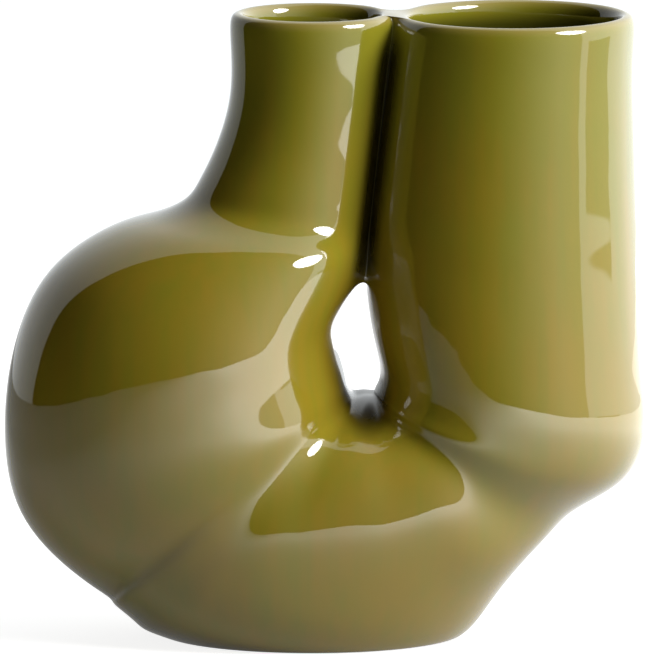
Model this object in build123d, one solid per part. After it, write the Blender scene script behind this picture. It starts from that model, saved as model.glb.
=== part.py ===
"""Two-necked glazed stoneware vase: a swollen belly limb with a narrow neck and a wide
barrel limb rise from one bowl-shaped base, touch again at their necks and leave an
opening between them. The cast sections are luted together with clay slip.

Frame: X runs across the vase from the belly to the barrel, Y from front to back, Z up.
The origin is the middle of the overall width and depth, on the plane of the foot.
"""
from build123d import *
from math import atan2, cos, degrees, radians, sin
import os

# Overall sizes, in millimetres
vase_height = 195.0          # foot to both rims
saddle_height = 76.0         # foot to the floor of the opening between the limbs
belly_reach = 111.7          # saddle out to the belly's side
barrel_reach = 89.5          # saddle out to the barrel's side
belly_depth = 104.0
barrel_depth = 85.0
base_depth = 90.0

# Mouths and necks
narrow_mouth_diameter = 50.2
narrow_mouth_offset = 16.2   # saddle to the narrow mouth's centre, towards the belly
neck_waist_diameter = 48.2
neck_waist_offset = 17.9
neck_foot_diameter = 58.0
neck_foot_offset = 25.2
neck_joint_height = 136.5    # foot to the joint of neck and belly
wide_mouth_diameter = 78.3
wide_mouth_offset = 45.6     # saddle to the wide mouth's centre, towards the barrel

# Foot
foot_width = 86.0
foot_depth = 66.0
foot_offset = 16.1           # saddle to the foot's centre, towards the belly
foot_ring_width = 7.0
foot_recess = 1.5

# Walls and joints
wall = 5.0
floor_thickness = 6.0
lip_radius = 2.2
slip_thickness = 0.8
belly_joint_tilt = 39.0      # degrees, the belly's joint falls to the left of the saddle
barrel_joint_tilt = 37.0     # degrees, the barrel's joint falls to the right of the saddle
joint_rise = 4.0             # the two joints meet this far above the saddle
seam_rim_offset = 7.7        # saddle to the seam between the necks at the rims, towards the barrel
seam_foot_offset = 0.4       # saddle to that seam at the coils' bottom
coil_spread = 28.0           # across the two coils, front to back
coil_thickness = 12.0
coil_bottom_height = 119.0

# Places that follow from the sizes
saddle_x = (belly_reach - barrel_reach) / 2
narrow_mouth_x = saddle_x - narrow_mouth_offset
neck_waist_x = saddle_x - neck_waist_offset
neck_foot_x = saddle_x - neck_foot_offset
wide_mouth_x = saddle_x + wide_mouth_offset
foot_x = saddle_x - foot_offset
neck_steps = 5               # rows of the neck, evenly spaced from its joint to its lip
rows_between = 2             # extra rows that round the outline between two drawn rows
edge_rows = 4                # rows that round a lip

# Rows of each form from bottom to top, as shares: height, left and right of the saddle, depth.
# A limb's height runs from 0 at the foot to 1 at the saddle and 2 at the limb's top.
belly_shares = (
    (0.106, 0.637, 0.511, 0.154),
    (0.171, 0.722, 0.484, 0.279),
    (0.264, 0.802, 0.449, 0.413),
    (0.395, 0.905, 0.368, 0.600),
    (0.553, 0.967, 0.256, 0.773),
    (0.724, 0.993, 0.135, 0.896),
    (0.895, 1.000, 0.055, 0.977),
    (1.081, 0.991, 0.046, 1.000),
    (1.298, 0.968, 0.065, 0.990),
    (1.497, 0.930, 0.037, 0.942),
    (1.661, 0.874, -0.015, 0.871),
    (1.792, 0.796, -0.029, 0.781),
    (1.891, 0.706, -0.021, 0.683),
    (1.966, 0.592, -0.021, 0.567),
    (2.025, 0.475, -0.008, 0.452),
)
barrel_shares = (
    (0.290, 0.099, 0.390, 0.400),
    (0.395, 0.055, 0.558, 0.612),
    (0.505, 0.032, 0.714, 0.753),
    (0.605, 0.027, 0.855, 0.847),
    (0.711, 0.038, 0.953, 0.918),
    (0.854, 0.055, 0.996, 0.972),
    (1.017, 0.060, 0.996, 0.998),
    (1.134, 0.039, 0.983, 1.000),
    (1.252, 0.017, 0.973, 0.995),
    (1.369, 0.001, 0.963, 0.988),
    (1.495, 0.010, 0.955, 0.976),
    (1.622, 0.025, 0.950, 0.965),
    (1.748, 0.040, 0.944, 0.951),
    (1.874, 0.056, 0.943, 0.934),
)
base_shares = (
    (0.021, 0.608, 0.353, 0.800),
    (0.083, 0.658, 0.409, 0.873),
    (0.184, 0.717, 0.479, 0.944),
    (0.316, 0.735, 0.569, 0.989),
    (0.434, 0.690, 0.647, 1.000),
    (0.539, 0.637, 0.675, 0.984),
    (0.632, 0.583, 0.636, 0.938),
    (0.730, 0.511, 0.535, 0.856),
    (0.829, 0.404, 0.401, 0.711),
    (0.921, 0.261, 0.245, 0.533),
    (1.000, 0.099, 0.099, 0.333),
)
neck_flare_share = 0.35      # how far the flare above the joint is from waist to foot
neck_lip_share = 0.40        # how far the neck below the lip is from waist to mouth


def limb_height(share, top):
    """Height of a limb's row, measured up to the saddle first and then on to the limb's top."""
    return min(share, 1) * saddle_height + max(share - 1, 0) * (top - saddle_height)


def rounded(rows):
    """Rows with others between them, so that the outline runs through them in one curve."""
    full = []
    for i in range(len(rows) - 1):
        before, start = rows[max(i - 1, 0)], rows[i]
        end, after = rows[i + 1], rows[min(i + 2, len(rows) - 1)]
        for k in range(rows_between + 1):
            t = k / (rows_between + 1)
            row = []
            for a, b, c, d in zip(before, start, end, after):
                bend = 2 * a - 5 * b + 4 * c - d
                twist = 3 * b - a - 3 * c + d
                row.append(b + ((c - a) * t + bend * t**2 + twist * t**3) / 2)
            full.append(row)
    full.append(rows[-1])
    return full


def turned(last, rise, draw):
    """Rows that turn a rounded edge on from the last row, rising and drawing in at the end."""
    height, left, right, half_depth = last
    full = []
    for k in range(1, edge_rows + 1):
        angle = radians(90 * k / edge_rows)
        inward = draw * (1 - cos(angle))
        full.append((height + rise * sin(angle), left + inward, right - inward, half_depth - inward))
    return full


def form(rows):
    """Solid through level ellipses, each given by its height, left, right and half depth."""
    ovals = []
    for height, left, right, half_depth in rows:
        oval = scale(Circle(1), by=((right - left) / 2, half_depth, 1))
        ovals.append(Pos((left + right) / 2, 0, height) * oval)
    return loft(ovals, ruled=True)


def ring(centre, height, radius):
    return (height, centre - radius, centre + radius, radius)


def inside(rows, lift, drop):
    """Rows of the space in a form: its sides drawn in by the wall, its ends moved in too."""
    low, high = rows[0][0], rows[-1][0]
    full = []
    for height, left, right, half_depth in rows:
        share = (height - low) / (high - low)
        moved = height + lift * (1 - share) - drop * share
        full.append((moved, left + wall, right - wall, half_depth - wall))
    return full


# Rows of the outer forms
lip_height = vase_height - lip_radius
belly_rows = []
for height, left, right, depth in belly_shares:
    left_x = saddle_x - left * belly_reach
    right_x = saddle_x - right * belly_reach
    z = limb_height(height, neck_joint_height)
    belly_rows.append((z, left_x, right_x, depth * belly_depth / 2))
belly_rows = rounded(belly_rows)

barrel_rows = []
for height, left, right, depth in barrel_shares:
    left_x = saddle_x + left * barrel_reach
    right_x = saddle_x + right * barrel_reach
    z = limb_height(height, vase_height)
    barrel_rows.append((z, left_x, right_x, depth * barrel_depth / 2))
barrel_rows.append(ring(wide_mouth_x, lip_height, wide_mouth_diameter / 2))
barrel_rows = rounded(barrel_rows)

base_rows = [(0, foot_x - foot_width / 2, foot_x + foot_width / 2, foot_depth / 2)]
for height, left, right, depth in base_shares:
    left_x = saddle_x - left * belly_reach
    right_x = saddle_x + right * barrel_reach
    base_rows.append((height * saddle_height, left_x, right_x, depth * base_depth / 2))
base_rows = rounded(base_rows)

neck_bottom = neck_joint_height - 2 * wall
neck_step = (lip_height - neck_bottom) / neck_steps
mouth = narrow_mouth_diameter / 2
waist = neck_waist_diameter / 2
flare = neck_foot_diameter / 2
flare_x = neck_waist_x + neck_flare_share * (neck_foot_x - neck_waist_x)
lip_x = neck_waist_x + 2 * neck_lip_share * (narrow_mouth_x - neck_waist_x)
neck_rows = rounded([
    ring(neck_foot_x, neck_bottom, flare - wall / 2),
    ring(neck_foot_x, neck_bottom + neck_step, flare),
    ring(flare_x, neck_bottom + 2 * neck_step, waist + neck_flare_share * (flare - waist)),
    ring(neck_waist_x, neck_bottom + 3 * neck_step, waist),
    ring(lip_x, neck_bottom + 4 * neck_step, waist + neck_lip_share * (mouth - waist)),
    ring(narrow_mouth_x, lip_height, mouth),
])

# Outer forms, with rounded lips
belly_form = form(belly_rows)
neck_form = form(neck_rows + turned(neck_rows[-1], lip_radius, lip_radius))
barrel_form = form(barrel_rows + turned(barrel_rows[-1], lip_radius, lip_radius))
base_form = form(base_rows)

# Inner spaces, open at both mouths
belly_space = form(inside(belly_rows, wall, wall))
neck_inside = inside(neck_rows, 0, 0)
neck_space = form(neck_inside + turned(neck_inside[-1], lip_radius, -lip_radius))
barrel_inside = inside(barrel_rows, wall, 0)
barrel_space = form(barrel_inside + turned(barrel_inside[-1], lip_radius, -lip_radius))
base_space = form(inside(base_rows, floor_thickness, wall))

# The whole clay body, with a recess inside the foot ring
recess = scale(Circle(1), by=(foot_width / 2 - foot_ring_width, foot_depth / 2 - foot_ring_width, 1))
body = belly_form + neck_form + barrel_form + base_form
body = body - (belly_space + neck_space + barrel_space + base_space)
body = body - Pos(foot_x, 0, 0) * extrude(recess, foot_recess)

# Planes of the joints: each slip layer lies between a plane and its copy one layer further on
joint_origin = (saddle_x, 0, saddle_height + joint_rise)
belly_tilt, barrel_tilt = radians(belly_joint_tilt), radians(barrel_joint_tilt)
belly_joint = Plane(joint_origin, x_dir=(0, 1, 0), z_dir=(-sin(belly_tilt), 0, cos(belly_tilt)))
barrel_joint = Plane(joint_origin, x_dir=(0, 1, 0), z_dir=(sin(barrel_tilt), 0, cos(barrel_tilt)))
lean = atan2(seam_rim_offset - seam_foot_offset, vase_height - coil_bottom_height)
seam_origin = (saddle_x + seam_rim_offset, 0, vase_height)
seam = Plane(seam_origin, x_dir=(0, 1, 0), z_dir=(cos(lean), 0, -sin(lean)))
neck_joint = Plane((0, 0, neck_joint_height))
gap_level = Plane((0, 0, (saddle_height + coil_bottom_height) / 2))


def above(solid, plane):
    return split(solid, bisect_by=plane, keep=Keep.TOP)


def below(solid, plane):
    return split(solid, bisect_by=plane, keep=Keep.BOTTOM)


base_bowl = below(below(body, belly_joint), barrel_joint)
left_side = below(body, seam.offset(-slip_thickness / 2))
right_side = above(body, seam.offset(slip_thickness / 2))
belly_side = above(left_side, belly_joint)
belly_slip_joint = below(belly_side, belly_joint.offset(slip_thickness))
belly_side = above(belly_side, belly_joint.offset(slip_thickness))
belly_limb = below(belly_side, neck_joint)
neck_side = above(belly_side, neck_joint)
neck_slip_joint = below(neck_side, neck_joint.offset(slip_thickness))
narrow_neck = above(neck_side, neck_joint.offset(slip_thickness))
barrel_side = above(right_side, barrel_joint)
barrel_slip_joint = below(barrel_side, barrel_joint.offset(slip_thickness))
barrel_limb = above(barrel_side, barrel_joint.offset(slip_thickness))
seam_layer = below(above(body, seam.offset(-slip_thickness / 2)), seam.offset(slip_thickness / 2))
seam_slip_joint = above(seam_layer, gap_level)

# Coils pressed into the groove where the limbs touch, front and back
coil_height = vase_height - lip_radius - coil_bottom_height
plate = Box(coil_thickness, coil_spread, coil_height, align=(Align.CENTER, Align.CENTER, Align.MAX))
plate = Pos(seam_origin[0], 0, vase_height - lip_radius) * Rot(0, degrees(lean), 0) * plate
groove_coils = plate - belly_form - neck_form - barrel_form

pieces = {
    "base_bowl": base_bowl,
    "belly_limb": belly_limb,
    "narrow_neck": narrow_neck,
    "barrel_limb": barrel_limb,
    "belly_slip_joint": belly_slip_joint,
    "barrel_slip_joint": barrel_slip_joint,
    "neck_slip_joint": neck_slip_joint,
    "seam_slip_joint": seam_slip_joint,
    "groove_coils": groove_coils,
}
os.makedirs("parts", exist_ok=True)
for name, piece in pieces.items():
    export_step(piece, f"parts/{name}.step")
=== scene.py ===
import math

import bmesh
import bpy
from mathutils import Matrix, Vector


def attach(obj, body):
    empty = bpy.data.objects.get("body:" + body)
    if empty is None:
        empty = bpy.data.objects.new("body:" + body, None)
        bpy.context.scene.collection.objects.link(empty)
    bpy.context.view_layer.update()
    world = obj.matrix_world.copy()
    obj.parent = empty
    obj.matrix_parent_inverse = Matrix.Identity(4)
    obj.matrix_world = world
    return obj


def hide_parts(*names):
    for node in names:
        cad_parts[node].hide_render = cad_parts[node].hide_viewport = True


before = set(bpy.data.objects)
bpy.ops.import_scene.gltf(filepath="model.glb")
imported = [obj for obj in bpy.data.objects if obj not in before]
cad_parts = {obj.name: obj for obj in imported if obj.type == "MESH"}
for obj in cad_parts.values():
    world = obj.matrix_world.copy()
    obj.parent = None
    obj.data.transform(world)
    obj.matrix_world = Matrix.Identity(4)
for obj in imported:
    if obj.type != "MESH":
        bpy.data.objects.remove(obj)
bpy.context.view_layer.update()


# Narrow neck and belly limb: one hollow limb of cast stoneware. The neck stands on the
# swollen belly, and the whole limb is luted to the base along a sloping joint.
# It is drawn as ovals from the joint up to the lip, over it and down the inside.
vase = bmesh.new()
SIDES = 16
WALL = 5.2
LIP_RISE = 2.8          # the lip's crest above the last oval
LIP_CREST = 1.9         # how far the crest's two edges lie inside the wall's two faces
CROWDING = 0.2          # the corners of an oval lie closer at its inner end


def oval(outer, inner, half_depth, swell=0.0, taper=0.0, bow=0.0, inset=0.0):
    """Corners of an oval across a limb, from its inner end round the front and back.
    With swell the half at the inner end is fuller, with taper the outer half is slimmer,
    and with bow the front and back lie higher than the ends."""
    outer, inner = Vector((outer[0], 0, outer[1])), Vector((inner[0], 0, inner[1]))
    middle, reach = (outer + inner) / 2, (inner - outer) / 2
    reach *= 1 - inset / reach.length
    depth = Vector((0, -1, 0)) * (half_depth - inset)
    corners = []
    for k in range(SIDES):
        turn = math.tau * k / SIDES
        turn -= CROWDING * math.sin(turn)
        along, aside = math.cos(turn), math.sin(turn)
        fullness = 1 + swell * max(along, 0) + taper * min(along, 0)
        corner = middle + reach * along + depth * aside * fullness
        corners.append(corner + Vector((0, 0, bow * aside * aside)))
    return corners


def edges_along(corners, closed):
    """Edges between neighbours in a row of corners."""
    ends = corners[1:] + corners[:1] if closed else corners[1:]
    return [vase.edges.get(pair) for pair in zip(corners, ends)]


def grow(corners, places, closed=True):
    """Extrudes a row of corners to new places and returns the new row."""
    made = bmesh.ops.extrude_edge_only(vase, edges=edges_along(corners, closed))["geom"]
    fresh = {part for part in made if isinstance(part, bmesh.types.BMVert)}
    row = []
    for corner, place in zip(corners, places):
        twin = next(e.other_vert(corner) for e in corner.link_edges if e.other_vert(corner) in fresh)
        twin.co = place
        row.append(twin)
    return row


def limb(rows):
    """Rings of a limb, one for each oval."""
    made = bmesh.ops.create_circle(vase, segments=SIDES, radius=1.0)["verts"]
    for corner, place in zip(made, rows[0]):
        corner.co = place
    rings = [list(made)]
    for places in rows[1:]:
        rings.append(grow(rings[-1], places))
    return rings


def over_the_lip(ovals, inside):
    """Rows of a limb: up the outside, over the rounded lip and down the inside."""
    rows = [oval(*row) for row in ovals]
    for inset in (LIP_CREST, WALL - LIP_CREST):
        rows.append([place + Vector((0, 0, LIP_RISE)) for place in oval(*ovals[-1], inset=inset)])
    rows += [oval(*row, inset=WALL) for row in inside]
    return rows


# outer end (x, z), inner end (x, z), half depth, swell, taper and bow, from the joint up
belly_ovals = [
    ((-69.5, 12.6), (8.3, 76.5), 47.0, 0.13, 0.04, 6.0),
    ((-80.5, 21.2), (6.4, 82.0), 49.4, 0.15, 0.05, 3.0),
    ((-96.3, 39.7), (4.9, 87.5), 51.3, 0.18, 0.03),
    ((-101.0, 66.0), (3.6, 93.5), 51.2, 0.21),
    ((-97.8, 92.0), (4.2, 101.0), 51.0, 0.19),
    ((-87.0, 115.2), (10.0, 112.0), 47.2, 0.13),
    ((-67.8, 129.0), (12.8, 120.0), 41.4, 0.15),
    ((-54.0, 133.4), (13.7, 125.5), 35.6, 0.14),
    ((-44.5, 138.0), (14.5, 131.0), 29.9, 0.10),
    ((-40.0, 144.0), (15.4, 139.5), 28.4, 0.07),
    ((-35.2, 153.9), (16.7, 152.0), 27.0, 0.05),
    ((-30.8, 168.2), (18.3, 167.5), 26.1, 0.03),
    ((-29.9, 182.4), (20.0, 182.0), 25.6, 0.02),
    ((-30.2, 194.0), (21.5, 194.0), 25.6),
]
# the same down the inside, given on the outer face and drawn in by the wall
belly_inside = [
    ((-30.2, 193.8), (21.5, 193.8), 25.6),
    ((-29.9, 182.4), (20.0, 182.4), 25.4),
    ((-30.8, 168.2), (18.3, 168.2), 25.6),
    ((-35.2, 153.9), (16.9, 153.9), 26.5),
    ((-43.0, 137.0), (15.2, 135.0), 29.8),
    ((-65.0, 125.0), (13.3, 122.0), 38.5),
    ((-86.5, 112.0), (10.0, 110.0), 46.5),
    ((-97.8, 92.0), (4.2, 100.0), 51.3),
    ((-101.0, 66.6), (3.6, 92.0), 52.0),
    ((-94.5, 42.0), (4.5, 84.0), 49.0),
    ((-79.5, 25.0), (6.0, 76.0), 42.5),
    ((-67.5, 15.5), (8.0, 72.0), 36.5),
]
belly_rings = limb(over_the_lip(belly_ovals, belly_inside))


# Barrel limb: the wide cast limb on the other side, with the wide mouth. Its rounded heel
# turns in below and is luted to the base along the other sloping joint.
barrel_ovals = [
    ((76.5, 38.8), (14.2, 76.5), 41.2, 0.03),
    ((87.5, 46.0), (15.0, 78.0), 42.8, 0.10),
    ((96.3, 53.9), (16.0, 80.0), 43.6, 0.10),
    ((101.0, 67.0), (16.6, 83.0), 44.1, 0.09),
    ((100.2, 80.0), (16.0, 88.0), 43.8, 0.09),
    ((99.0, 97.0), (13.7, 99.0), 43.0, 0.07),
    ((97.9, 112.5), (11.8, 112.0), 42.3, 0.02),
    ((97.4, 121.5), (11.7, 120.0), 41.8),
    ((97.1, 127.5), (11.9, 125.5), 41.5),
    ((96.8, 133.0), (12.3, 131.0), 41.1),
    ((96.4, 141.5), (13.2, 139.5), 40.5),
    ((96.0, 153.5), (14.8, 152.0), 39.8),
    ((95.6, 168.0), (16.8, 167.5), 38.9),
    ((95.5, 182.0), (18.7, 182.0), 38.0),
    ((95.9, 193.5), (20.6, 193.5), 37.5),
]
barrel_inside = [
    ((95.9, 193.3), (20.6, 193.3), 37.5),
    ((95.5, 182.0), (18.7, 182.0), 38.0),
    ((95.7, 165.0), (16.5, 165.0), 39.0),
    ((96.4, 140.0), (13.2, 140.0), 40.5),
    ((97.7, 113.0), (11.8, 113.0), 42.2),
    ((99.5, 88.0), (15.5, 90.0), 42.5),
    ((100.4, 70.0), (16.6, 82.0), 42.2),
    ((95.0, 56.5), (16.0, 75.5), 40.5),
    ((85.0, 47.5), (14.5, 72.5), 37.0),
    ((74.0, 40.5), (14.0, 71.5), 34.0),
]
barrel_rings = limb(over_the_lip(barrel_ovals, barrel_inside))


# Groove between the limbs: where they touch, from the lips down to the top of the opening,
# the two walls are one web. The groove in front and behind is filled with a coil of clay.
BELLY_TOUCH = 5                      # belly ring at the top of the opening
BARREL_TOUCH = 6                     # barrel ring at the top of the opening
INNER_END = (SIDES - 1, 0, 1)        # corners of a ring that face the other limb
LIP_ROWS = 2                         # the two edges of a lip's crest


def bridge(corners, others):
    """Joins two open rows of corners with a strip of faces."""
    bmesh.ops.bridge_loops(vase, edges=edges_along(corners, False) + edges_along(others, False))


belly_web = belly_rings[BELLY_TOUCH:len(belly_ovals) + LIP_ROWS]
barrel_web = barrel_rings[BARREL_TOUCH:len(barrel_ovals) + LIP_ROWS]
buried = [ring[0] for ring in belly_web[1:-1] + barrel_web[1:-1]]
bmesh.ops.delete(vase, geom=buried, context="VERTS")
for side in (1, SIDES - 1):
    bridge([ring[side] for ring in belly_web], [ring[side] for ring in barrel_web])
for level in (0, -1):
    bridge([belly_web[level][k] for k in INNER_END], [barrel_web[level][k] for k in INNER_END])


# Base bowl: the cast bowl that carries both limbs, with the saddle under the opening and a
# swelling front and back. Its foot turns under to a flat ring round a shallow recess.
SADDLE_ROWS = 2
FOOT_HEIGHT = 1.0
FLOOR_HEIGHT = 6.5
OUTSIDE_SHARES = (0.16, 0.4, 0.66, 0.88)     # of the way from the joints down to the foot
INSIDE_SHARES = (0.25, 0.55, 0.85)           # of the way from the joints down to the floor
FOOT_ROWS = ((2.2, 0.5), (4.0, 0.35), (9.0, 0.35), (11.0, 1.8))     # drawn in, and height
MIDDLE_SHARE = 0.6                           # of the half width, with a plain front and back
SQUARENESS = 0.5
SQUARE_FROM, SQUARE_TO = 6.0, 40.0           # heights between which the bowl grows squarer
HALVINGS = 30
# height, left, right and half depth of the bowl's level ovals
bowl_ovals = [
    (0.0, -47.5, 40.5, 34.0), (1.6, -56.5, 44.5, 37.3), (6.3, -62.2, 48.2, 41.0),
    (14.0, -70.4, 53.6, 44.4), (24.0, -74.0, 61.5, 46.0), (33.0, -77.0, 70.0, 46.8),
    (38.0, -80.0, 71.0, 47.0), (41.0, -84.0, 72.0, 46.9), (48.0, -95.0, 80.0, 46.0),
    (55.5, -105.0, 100.0, 44.0), (63.0, -80.0, 95.0, 38.5), (70.0, -38.0, 55.0, 29.0),
    (76.0, -3.0, 25.0, 15.0),
]


def bowl_at(height, inset):
    """Middle, half width and half depth of the bowl at a height."""
    lower = max(row for row in bowl_ovals[:-1] if row[0] <= height)
    upper = bowl_ovals[bowl_ovals.index(lower) + 1]
    share = min((height - lower[0]) / (upper[0] - lower[0]), 1)
    left, right, half_depth = (a + share * (b - a) for a, b in zip(lower[1:], upper[1:]))
    return (left + right) / 2, (right - left) / 2 - inset, half_depth - inset


def on_bowl(place, inset):
    """The place moved level to the bowl's face: forwards or back over the bowl's middle,
    and more and more aside towards its ends. Higher up the bowl is squarer than an oval."""
    middle, half_width, half_depth = bowl_at(place.z, inset)
    rise = min(max(place.z - SQUARE_FROM, 0) / (SQUARE_TO - SQUARE_FROM), 1)
    power = 2 + SQUARENESS * rise
    along, depth = (place.x - middle) / half_width, place.y / half_depth
    pole = min(max(along, -MIDDLE_SHARE), MIDDLE_SHARE)
    near, far = 0.0, 2 / max(abs(along - pole), abs(depth))
    for _ in range(HALVINGS):
        reach = (near + far) / 2
        outside = abs(pole + reach * (along - pole)) ** power + abs(reach * depth) ** power > 1
        near, far = (near, reach) if outside else (reach, far)
    return Vector((middle + (pole + reach * (along - pole)) * half_width, reach * place.y, place.z))


def level_oval(count, middle, half_width, half_depth, height):
    """Corners of a level oval, from its right end round the front and back."""
    turns = [-math.tau * i / count for i in range(count)]
    return [Vector((middle + half_width * math.cos(a), half_depth * math.sin(a), height)) for a in turns]


def bowl(belly_ring, barrel_ring, low, inset, shares):
    """Closes two joint rings over the saddle and runs them down to a level oval."""
    start, end = ([ring[k] for k in INNER_END] for ring in (barrel_ring, belly_ring))
    saddle = [start]
    for i in range(1, SADDLE_ROWS):
        places = [a.co.lerp(b.co, i / SADDLE_ROWS) for a, b in zip(start, end)]
        saddle.append(grow(saddle[-1], places, closed=False))
    bridge(saddle[-1], end)
    back, _, front = zip(*saddle)
    rim = barrel_ring[SIDES // 2:0:-1] + list(front[1:]) + belly_ring[1:] + list(back[:0:-1])
    rim += barrel_ring[:SIDES // 2:-1]
    bottom = level_oval(len(rim), *bowl_at(low, inset), low)
    starts = [corner.co.copy() for corner in rim]
    for share in shares:
        rim = grow(rim, [on_bowl(a.lerp(b, share), inset) for a, b in zip(starts, bottom)])
    return grow(rim, bottom)


foot_rim = bowl(belly_rings[0], barrel_rings[0], FOOT_HEIGHT, 0.0, OUTSIDE_SHARES)
floor_rim = bowl(belly_rings[-1], barrel_rings[-1], FLOOR_HEIGHT, WALL, INSIDE_SHARES)
for drawn_in, height in FOOT_ROWS:
    foot_rim = grow(foot_rim, level_oval(len(foot_rim), *bowl_at(FOOT_HEIGHT, drawn_in), height))
for rim in (floor_rim, foot_rim):
    bmesh.ops.contextual_create(vase, geom=rim)


# Joints: the sections are luted with slip and the joints wiped smooth before the firing, so
# the whole body is one soft skin. The belly's joint stays as a shallow crease.
FRONT_DEPTH = 20.0                   # corners further forward or back than this are wiped
WIPING = 0.5
SETTLE_ROUNDS = 4
ROUNDING_LEVEL = 3
VASE_HEIGHT = 0.195                  # metres
DRAWN_HEIGHT = 197.05                # the same height in the units of the drawn rows
DRAWN_SIZE = VASE_HEIGHT / DRAWN_HEIGHT


def settle(rounds, left_alone):
    """Pushes the corners out until the rounded surface runs through the places drawn for
    them, but not round the flat floor and foot, and not the corners that are left alone."""
    drawn = {corner: corner.co.copy() for corner in vase.verts}
    flat = {corner for face in vase.faces if len(face.verts) > 4 for corner in face.verts}
    flat.update(left_alone)
    for _ in range(rounds):
        short = {}
        for corner in vase.verts:
            spokes = len(corner.link_edges)
            near = sum((e.other_vert(corner).co for e in corner.link_edges), Vector())
            middles = sum((f.calc_center_median() for f in corner.link_faces), Vector())
            weighed = spokes * (spokes - 1) * corner.co + 2 * near + 4 * middles
            lies_at = weighed / (spokes * (spokes + 5))
            short[corner] = drawn[corner] - lies_at
        for corner, gap in short.items():
            if corner not in flat:
                corner.co += gap


def finished(name, shape):
    """An object from a shape that is drawn in its place."""
    mesh = bpy.data.meshes.new(name)
    shape.to_mesh(mesh)
    shape.free()
    made = bpy.data.objects.new(name, mesh)
    bpy.context.collection.objects.link(made)
    return made


wiped = [corner for corner in belly_rings[0] if abs(corner.co.y) > FRONT_DEPTH]
bmesh.ops.smooth_vert(vase, verts=wiped, factor=WIPING,
                      use_axis_x=True, use_axis_y=True, use_axis_z=True)
settle(SETTLE_ROUNDS, barrel_rings[0][2:-1])
bmesh.ops.recalc_face_normals(vase, faces=vase.faces)
bmesh.ops.scale(vase, vec=(DRAWN_SIZE, DRAWN_SIZE, DRAWN_SIZE), verts=vase.verts)
for face in vase.faces:
    face.smooth = True
glazed_vase = finished("glazed_vase", vase)
rounding = glazed_vase.modifiers.new("rounding", "SUBSURF")
rounding.levels = rounding.render_levels = ROUNDING_LEVEL
rounded = glazed_vase.evaluated_get(bpy.context.evaluated_depsgraph_get())
rounded_mesh = bpy.data.meshes.new_from_object(rounded)
glazed_vase.modifiers.clear()
glazed_vase.data = rounded_mesh


# Glaze: one glossy olive coat over all the sections, poured on and fired. It is greener above
# and browner below and thin on the lips, with painted shade in the crevices and inside the mouths.
GREEN_OLIVE = (0.212, 0.194, 0.014, 1)
BROWN_OLIVE = (0.272, 0.188, 0.014, 1)
# painted shade for the groove and the bottom of the opening
PAINTED_CREVICE_SHADE = (0.030, 0.022, 0.002, 1)
# painted shade inside the mouths
PAINTED_MOUTH_SHADE = (0.042, 0.041, 0.004, 1)
THIN_GLAZE = (0.300, 0.215, 0.060, 1)
GLAZE_ROUGHNESS = 0.03
GLAZE_IOR = 1.6
WAVE_HEIGHT = 0.00013
RUN_STRETCH = (1.0, 1.0, 0.05)       # the runs of the glaze are long and upright
CLOUD_SHARE = 0.9                    # what the clouds, the runs and the lower half add to the brown
RUN_SHARE = 0.7
LOW_SHARE = 0.30
LOW_BAND = (0.20, 0.10)              # heights between which the vase grows browner downwards
BROWN_BAND = (0.35, 1.0)             # sums between which green turns to brown
LIP_BAND = (0.1915, 0.1945)          # heights between which the glaze thins over the lips
LIP_SHARE = 0.6
GROOVE_FOOT = (0.0107, 0.111)        # x and z of the groove at the top of the opening
GROOVE_LEAN = 0.122
GROOVE_SIDES = (0.0050, 0.0010)      # off the groove, where the painted shade starts and is full
GROOVE_BOTTOM = (0.105, 0.120)       # heights between which it starts
GROOVE_TOP = (0.193, 0.180)          # heights between which it ends
OPENING_FLOOR = (0.0125, 0.078)      # x and z of the bottom of the opening
OPENING_SIDES = (0.0085, 0.0035)     # off that place, as for the groove
OPENING_SQUASH = 0.6                 # the pool there is taller than it is wide
OPENING_DULLING = 0.25               # added to the roughness there
CREVICE_SHADE_SHARE = 0.9
MOUTH_HEIGHT = 0.194
MOUTH_EDGE = (0.0006, -0.0006)       # off a mouth's clear space, where the shade starts and is full
MOUTH_TOP = (0.001, 0.008)           # depths between which it starts
MOUTH_BOTTOM = (0.140, 0.150)        # heights between which it ends
SHADE_SHARE = 0.95
# middle and half width of each mouth's clear space, its lean and its widening downwards
MOUTHS = ((-0.0043, 0.0218, 0.12, 0.0), (0.0577, 0.0345, 0.05, 0.07))


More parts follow.
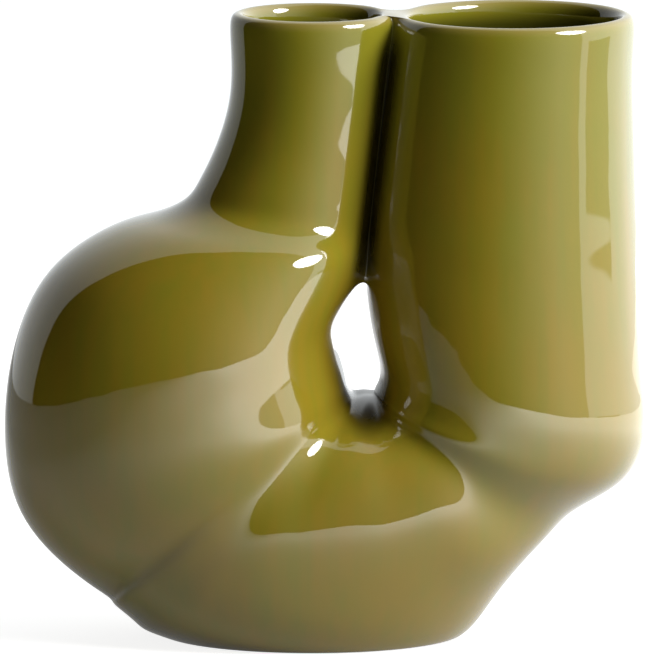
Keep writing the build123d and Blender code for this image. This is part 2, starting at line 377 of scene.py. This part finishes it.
class Wire:
    """A shader socket that sums and products can be written with."""

    def __init__(self, tree, socket=None):
        self.tree, self.socket = tree, socket

    def node(self, kind, output, settings=None, **sockets):
        """Adds a node, sets it, fills its sockets and gives back one of its outputs.
        A socket is given by its name, or as an underscore and its number."""
        made = self.tree.nodes.new(kind)
        for name, value in (settings or {}).items():
            setattr(made, name, value)
        for name, value in sockets.items():
            key = int(name[1:]) if name[1:].isdigit() else name.replace("_", " ")
            if isinstance(value, Wire):
                self.tree.links.new(value.socket, made.inputs[key])
            else:
                made.inputs[key].default_value = value
        return Wire(self.tree, made.outputs[output])

    def feed(self, made, name):
        """Links this to an input of a node."""
        self.tree.links.new(self.socket, made.inputs[name])

    def maths(self, operation, *values):
        """A Math node on these values."""
        sockets = {f"_{i}": value for i, value in enumerate(values)}
        return self.node("ShaderNodeMath", 0, {"operation": operation}, **sockets)

    def __add__(self, other):
        return self.maths("ADD", self, other)

    def __sub__(self, other):
        return self.maths("SUBTRACT", self, other)

    def __mul__(self, other):
        return self.maths("MULTIPLY", self, other)

    def __rsub__(self, other):
        return self.maths("SUBTRACT", other, self)

    __radd__ = __add__
    __rmul__ = __mul__

    def step(self, start, end):
        """0 up to start, 1 from end on, and smooth between them."""
        return self.node("ShaderNodeMapRange", 0, {"interpolation_type": "SMOOTHSTEP"},
                         Value=self, From_Min=start, From_Max=end)

    def colours(self, first, second):
        """The first colour where this is 0, and the second where it is 1."""
        return self.node("ShaderNodeMix", 2, {"data_type": "RGBA"}, _0=self, _6=first, _7=second)

    def noise(self, scale, detail, roughness):
        """Noise at the places that this holds."""
        return self.node("ShaderNodeTexNoise", 0, Vector=self, Scale=scale, Detail=detail,
                         Roughness=roughness)

    def length(self):
        """Length of the vector that this holds."""
        return self.node("ShaderNodeVectorMath", "Value", {"operation": "LENGTH"}, _0=self)


def coat(piece, name):
    """Gives a piece a material, and gives back its first wire and its shader."""
    material = bpy.data.materials.new(name)
    material.use_nodes = True
    piece.data.materials.append(material)
    return Wire(material.node_tree), material.node_tree.nodes["Principled BSDF"]


wire, shader = coat(glazed_vase, "olive_glaze")
place = wire.node("ShaderNodeTexCoord", "Object")
across, aside, height = (wire.node("ShaderNodeSeparateXYZ", axis, Vector=place) for axis in "XYZ")
clouds = place.noise(scale=22.0, detail=3.0, roughness=0.5)
upright = wire.node("ShaderNodeVectorMath", "Vector", {"operation": "MULTIPLY"}, _0=place, _1=RUN_STRETCH)
runs = upright.noise(scale=150.0, detail=2.0, roughness=0.6)
brown = clouds * CLOUD_SHARE + (runs - 0.5) * RUN_SHARE + height.step(*LOW_BAND) * LOW_SHARE
colour = brown.step(*BROWN_BAND).colours(GREEN_OLIVE, BROWN_OLIVE)
colour = (height.step(*LIP_BAND) * LIP_SHARE).colours(colour, THIN_GLAZE)
# painted shade: the glaze is darkened in the groove and in the bottom of the opening, where shade falls
groove_x = GROOVE_FOOT[0] + (height - GROOVE_FOOT[1]) * GROOVE_LEAN
in_groove = wire.maths("ABSOLUTE", across - groove_x).step(*GROOVE_SIDES)
in_groove = in_groove * height.step(*GROOVE_BOTTOM) * height.step(*GROOVE_TOP)
from_floor = wire.node("ShaderNodeCombineXYZ", 0, X=across - OPENING_FLOOR[0],
                       Z=(height - OPENING_FLOOR[1]) * OPENING_SQUASH)
in_opening = from_floor.length().step(*OPENING_SIDES)
crevice_shade = wire.maths("MAXIMUM", in_groove, in_opening)
colour = (crevice_shade * CREVICE_SHADE_SHARE).colours(colour, PAINTED_CREVICE_SHADE)
# painted shade: inside the two mouths the glaze is darkened and turned greener
below = MOUTH_HEIGHT - height
for middle, half_width, lean, widening in MOUTHS:
    from_middle = wire.node("ShaderNodeCombineXYZ", 0, X=across - (middle - below * lean), Y=aside)
    within = (from_middle.length() - (half_width + below * widening)).step(*MOUTH_EDGE)
    mouth_shade = within * below.step(*MOUTH_TOP) * height.step(*MOUTH_BOTTOM)
    colour = (mouth_shade * SHADE_SHARE).colours(colour, PAINTED_MOUTH_SHADE)
ripple = place.noise(scale=70.0, detail=1.0, roughness=0.4)
waves = wire.node("ShaderNodeBump", 0, Strength=1.0, Distance=WAVE_HEIGHT, Height=ripple)
dulled = GLAZE_ROUGHNESS + in_opening * OPENING_DULLING
colour.feed(shader, "Base Color")
dulled.feed(shader, "Roughness")
waves.feed(shader, "Normal")
shader.inputs["IOR"].default_value = GLAZE_IOR
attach(glazed_vase, "root")
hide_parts("base_bowl", "belly_limb", "narrow_neck", "barrel_limb", "groove_coils",
            "belly_slip_joint", "barrel_slip_joint", "neck_slip_joint", "seam_slip_joint")


# Foot ring: the narrow band under the base that the vase stands on. It was wiped clean before
# the firing, so the bare buff stoneware shows there, dry and finely speckled.
RING_EDGES = (3.4, 9.6)               # drawn in from the edge of the foot
RING_HEIGHT = 0.5
RING_SIDES = 96
BUFF_CLAY = (0.46, 0.37, 0.26, 1)
DARK_CLAY = (0.30, 0.23, 0.15, 1)
SPECK_BAND = (0.62, 0.72)             # noise between which the clay turns to a speck
CLAY_ROUGHNESS = 0.9
GRIT_HEIGHT = 0.0001
ring = bmesh.new()
for drawn_in in RING_EDGES:
    middle, half_width, half_depth = bowl_at(FOOT_HEIGHT, drawn_in)
    edge = bmesh.ops.create_circle(ring, segments=RING_SIDES, radius=1.0)["verts"]
    bmesh.ops.scale(ring, vec=(half_width, half_depth, 1), verts=edge)
    bmesh.ops.translate(ring, vec=(middle, 0, 0), verts=edge)
bmesh.ops.bridge_loops(ring, edges=ring.edges)
raised = bmesh.ops.extrude_face_region(ring, geom=ring.faces[:], use_keep_orig=True)["geom"]
raised = [part for part in raised if isinstance(part, bmesh.types.BMVert)]
bmesh.ops.translate(ring, vec=(0, 0, RING_HEIGHT), verts=raised)
bmesh.ops.recalc_face_normals(ring, faces=ring.faces)
bmesh.ops.scale(ring, vec=(DRAWN_SIZE, DRAWN_SIZE, DRAWN_SIZE), verts=ring.verts)
foot_ring = finished("foot_ring", ring)
wire, shader = coat(foot_ring, "bare_clay")
place = wire.node("ShaderNodeTexCoord", "Object")
specks = place.noise(scale=900.0, detail=2.0, roughness=0.6)
colour = specks.step(*SPECK_BAND).colours(BUFF_CLAY, DARK_CLAY)
grit = wire.node("ShaderNodeBump", 0, Strength=0.6, Distance=GRIT_HEIGHT, Height=specks)
colour.feed(shader, "Base Color")
grit.feed(shader, "Normal")
shader.inputs["Roughness"].default_value = CLAY_ROUGHNESS
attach(foot_ring, "root")


# Studio floor: a plain pale disc. It looks white to the camera; in the glaze's reflections it
# glows with painted light, brighter to the right, and with painted shade close to the vase.
FLOOR_RADIUS = 1.0
FLOOR_SIDES = 64
FLOOR_GREY = (0.48, 0.48, 0.48, 1)
FLOOR_ROUGHNESS = 0.9
FLOOR_WHITE = 0.86                    # what the lamp's own light leaves wanting
SIDE_BAND = (-0.35, 0.3)              # from left to right, where the floor's painted glow grows
FAR_BAND = (0.08, 0.4)                # off the middle, where it comes out of the painted shade
RIGHT_BAND = (-0.02, 0.35)            # from left to right, where painted lamplight adds to it
NEAR_GLOW = 0.6
FAR_GLOW = 2.1
RIGHT_GLOW = 0.9
disc = bmesh.new()
bmesh.ops.create_circle(disc, cap_ends=True, segments=FLOOR_SIDES, radius=FLOOR_RADIUS)
studio_floor = finished("studio_floor", disc)
wire, shader = coat(studio_floor, "floor_paint")
camera_ray, glossy_ray, clear_ray = (wire.node("ShaderNodeLightPath", f"Is {ray} Ray")
                                     for ray in ("Camera", "Glossy", "Transmission"))
place = wire.node("ShaderNodeTexCoord", "Object")
across = wire.node("ShaderNodeSeparateXYZ", "X", Vector=place)
# painted light and painted shade on the floor, seen only in the glaze's reflections
floor_painted_glow = across.step(*SIDE_BAND) * (NEAR_GLOW + place.length().step(*FAR_BAND) * FAR_GLOW)
floor_painted_glow = floor_painted_glow + across.step(*RIGHT_BAND) * RIGHT_GLOW
glow = wire.maths("MAXIMUM", camera_ray, clear_ray) * FLOOR_WHITE + glossy_ray * floor_painted_glow
white = wire.node("ShaderNodeCombineColor", 0, Red=glow, Green=glow, Blue=glow)
white.feed(shader, "Emission Color")
shader.inputs["Base Color"].default_value = FLOOR_GREY
shader.inputs["Roughness"].default_value = FLOOR_ROUGHNESS
shader.inputs["Emission Strength"].default_value = 1.0


# Studio light: white surroundings behind the vase, dimmer ones in front that grow brighter to
# the right, with one dark post, and a soft round lamp in front on the right.
SKY_WHITE = (0.94, 0.98, 1.0, 1)
FILL = 0.35                           # share of the surroundings that lights matt surfaces
FRONT_SHIFT, FRONT_LIMIT = 0.4, 1.3   # where the light in front starts on the left, and its most
BACK_SLANT = 0.42                     # the white behind reaches forward on the right
BACK_WHITE, BACK_GAIN = 1.15, 0.6     # in the middle, and how much it gains to the right
POST_SLANTS = (0.268, 0.25)           # the post's two edges
POST_TOP = (-0.065, -0.075)
SOFT_EDGE = (-0.01, 0.01)
CAMERA_WHITE = 1.1
LAMP_AZIMUTH = math.radians(62.0)     # from the front to the right
LAMP_ELEVATION = math.radians(33.0)
LAMP_DISTANCE = 1.4
LAMP_SIZE = 0.68
LAMP_POWER = 25.0
LAMP_AIM = Vector((0, 0, 0.1))
world = bpy.data.worlds.new("studio")
bpy.context.scene.world = world
world.use_nodes = True
background = world.node_tree.nodes["Background"]
wire = Wire(world.node_tree)
way = wire.node("ShaderNodeTexCoord", "Generated")
across, back, up = (wire.node("ShaderNodeSeparateXYZ", axis, Vector=way) for axis in "XYZ")
camera_ray, glossy_ray = (wire.node("ShaderNodeLightPath", f"Is {ray} Ray")
                          for ray in ("Camera", "Glossy"))
rightward = wire.maths("MAXIMUM", across + FRONT_SHIFT, 0.0)
front = wire.maths("MINIMUM", rightward * rightward, FRONT_LIMIT)
post = (back + across * POST_SLANTS[0]).step(*SOFT_EDGE) * (across * POST_SLANTS[1] - back).step(*SOFT_EDGE)
post = post * up.step(*POST_TOP)
behind = (back + across * BACK_SLANT).step(*SOFT_EDGE) * (BACK_WHITE + across * BACK_GAIN) * (1.0 - post)
lit = (front + behind) * (FILL + glossy_ray * (1.0 - FILL))
strength = lit + camera_ray * (CAMERA_WHITE - lit)
strength.feed(background, "Strength")
background.inputs["Color"].default_value = SKY_WHITE

key_light = bpy.data.lights.new("key_lamp", "AREA")
key_light.shape = "DISK"
key_light.size = LAMP_SIZE
key_light.energy = LAMP_POWER
key_lamp = bpy.data.objects.new("key_lamp", key_light)
bpy.context.collection.objects.link(key_lamp)
towards = Vector((math.sin(LAMP_AZIMUTH) * math.cos(LAMP_ELEVATION),
                  -math.cos(LAMP_AZIMUTH) * math.cos(LAMP_ELEVATION), math.sin(LAMP_ELEVATION)))
key_lamp.location = LAMP_AIM + LAMP_DISTANCE * towards
key_lamp.rotation_euler = towards.to_track_quat("Z", "Y").to_euler()


# Camera: a long lens from far in front and a little above, as the photograph was taken.
# It looks at the middle of the vase.
TILT = math.radians(8.8)
DISTANCE = 4.0
SENSOR = 36.0
PICTURE_PIXELS = 654
PIXEL_SIZE = 0.313                    # drawn units for each pixel of the picture
AIM_HEIGHT = 97.68                    # drawn units
lens_data = bpy.data.cameras.new("camera")
lens_data.sensor_width = SENSOR
lens_data.lens = SENSOR * DISTANCE / (PICTURE_PIXELS * PIXEL_SIZE * DRAWN_SIZE)
lens_data.clip_end = 100.0
camera = bpy.data.objects.new("camera", lens_data)
bpy.context.collection.objects.link(camera)
aim = Vector((0.0, 0.0, AIM_HEIGHT * DRAWN_SIZE))
camera.location = aim + DISTANCE * Vector((0.0, -math.cos(TILT), math.sin(TILT)))
camera.rotation_euler = (math.pi / 2 - TILT, 0.0, 0.0)
bpy.context.scene.camera = camera
bpy.context.scene.view_settings.view_transform = "Standard"
